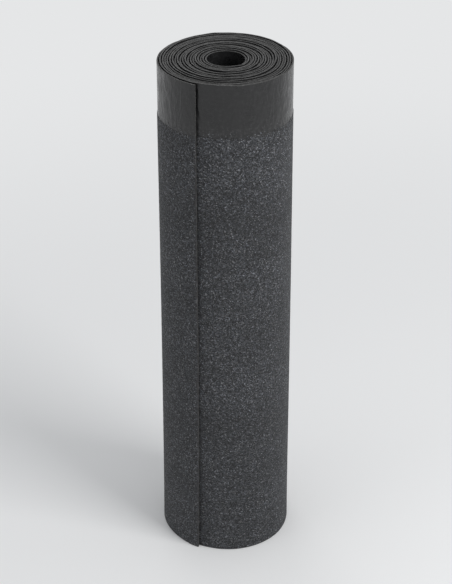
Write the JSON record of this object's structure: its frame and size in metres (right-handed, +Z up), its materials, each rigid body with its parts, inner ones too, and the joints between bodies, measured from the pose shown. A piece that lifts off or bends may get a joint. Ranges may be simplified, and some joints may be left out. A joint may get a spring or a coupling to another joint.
{
  "type": "roll of roofing felt",
  "caption": "Roll of mineral-faced bitumen roofing felt standing on end, wound granules outwards round an open bore, with a bare lap margin along its top edge.",
  "frame": {"origin": "on the bore's axis, at the base that the roll stands on", "axes": "+Z up the bore, from the granule edge at the base to the bare lap margin at the top; +X points at the sheet's inner end in the bore, and the turns run anticlockwise outwards seen from above"},
  "size_m": [0.249, 0.2511, 1],
  "materials": {
    "mineral_felt": "charcoal mineral granules on black bitumen, matt"
  },
  "bodies": {
    "root": {"felt_roll": "mineral_felt"}
  },
  "joints": []
}
